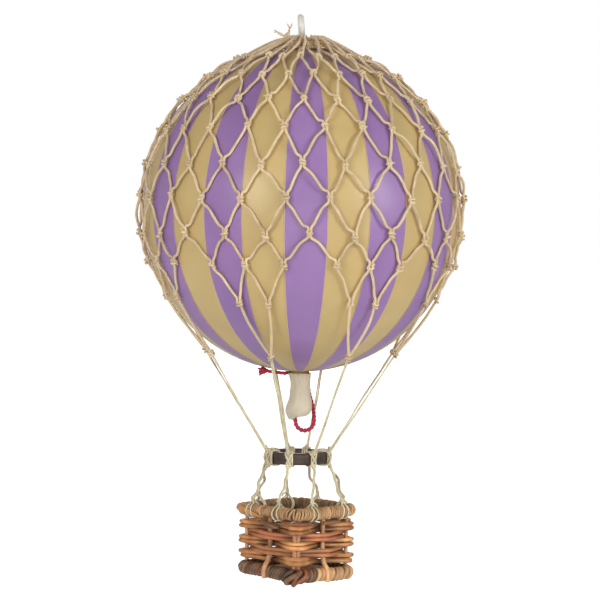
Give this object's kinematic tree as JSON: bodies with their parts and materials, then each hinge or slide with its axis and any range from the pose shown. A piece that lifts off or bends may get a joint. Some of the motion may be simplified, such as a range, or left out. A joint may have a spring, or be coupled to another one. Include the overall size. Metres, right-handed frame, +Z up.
{
  "type": "hanging balloon ornament",
  "caption": "Decorative hanging balloon model: striped ball in a knotted cord net, carrying a load ring and an open woven basket on cord lines.",
  "frame": {"origin": "where the hook bears, at the top of the hole in the hanging eye", "axes": "+Z up along the hanging axis, -Y to the front, which a corner of the basket faces, +X to the viewer's right"},
  "size_m": [0.1884, 0.1884, 0.3245],
  "materials": {
    "gold_shell": "satin",
    "lavender_gore": "satin",
    "white_plastic": "satin",
    "ivory_sleeve": "matte",
    "red_cord": "matte",
    "net_cord": "matte",
    "line_cord": "matte",
    "dark_wood": "satin",
    "rim_cane": "matte",
    "orange_cane": "satin",
    "brown_cane": "satin",
    "floor_wood": "matte"
  },
  "bodies": {
    "envelope": {"envelope_shell": "gold_shell", "gore_01": "lavender_gore", "gore_02": "lavender_gore", "gore_03": "lavender_gore", "gore_04": "lavender_gore", "gore_05": "lavender_gore", "gore_06": "lavender_gore", "gore_07": "lavender_gore", "gore_08": "lavender_gore", "gore_09": "lavender_gore", "gore_10": "lavender_gore", "gore_11": "lavender_gore", "gore_12": "lavender_gore", "hanging_eye": "white_plastic", "eye_retainer": "white_plastic", "neck_tie": "red_cord"},
    "neck": {"neck_sleeve": "ivory_sleeve", "pull_cord": "red_cord"},
    "net": {"net": "net_cord", "crown_cord": "net_cord", "upper_line_1": "net_cord", "upper_line_2": "net_cord", "upper_line_3": "net_cord", "upper_line_4": "net_cord", "upper_line_5": "net_cord", "upper_line_6": "net_cord", "upper_line_7": "net_cord", "upper_line_8": "net_cord"},
    "ring": {"load_ring": "dark_wood", "ring_hitch_1": "net_cord", "ring_hitch_2": "net_cord", "ring_hitch_3": "net_cord", "ring_hitch_4": "net_cord", "ring_hitch_5": "net_cord", "ring_hitch_6": "net_cord", "ring_hitch_7": "net_cord", "ring_hitch_8": "net_cord"},
    "basket": {"lower_line_1": "line_cord", "lower_line_2": "line_cord", "lower_line_3": "line_cord", "lower_line_4": "line_cord", "lower_line_5": "line_cord", "lower_line_6": "line_cord", "lower_line_7": "line_cord", "lower_line_8": "line_cord", "basket_floor": "floor_wood", "basket_bottom_rim": "rim_cane", "basket_top_rim": "rim_cane", "corner_post_1": "orange_cane", "corner_post_2": "orange_cane", "corner_post_3": "orange_cane", "corner_post_4": "orange_cane", "mid_stake_1": "orange_cane", "mid_stake_2": "orange_cane", "mid_stake_3": "orange_cane", "mid_stake_4": "orange_cane", "weaver_outer": "orange_cane", "weaver_inner": "brown_cane"}
  },
  "joints": [
    {"name": "net_turn", "type": "hinge", "parent": "envelope", "child": "net", "pos_m": [0, 0, -0.1066], "axis": [0, 0, 1], "range_deg": [-20, 20]},
    {"name": "ring_rock", "type": "hinge", "parent": "net", "child": "ring", "pos_m": [0, 0, -0.2513], "axis": [1, 0, 0], "range_deg": [-8, 8]},
    {"name": "basket_swing", "type": "hinge", "parent": "ring", "child": "basket", "pos_m": [0, 0, -0.2513], "axis": [0, 1, 0], "range_deg": [-10, 10]},
    {"name": "neck_swing", "type": "hinge", "parent": "envelope", "child": "neck", "pos_m": [0, 0, -0.2027], "axis": [0, 1, 0], "range_deg": [-12, 12]}
  ]
}
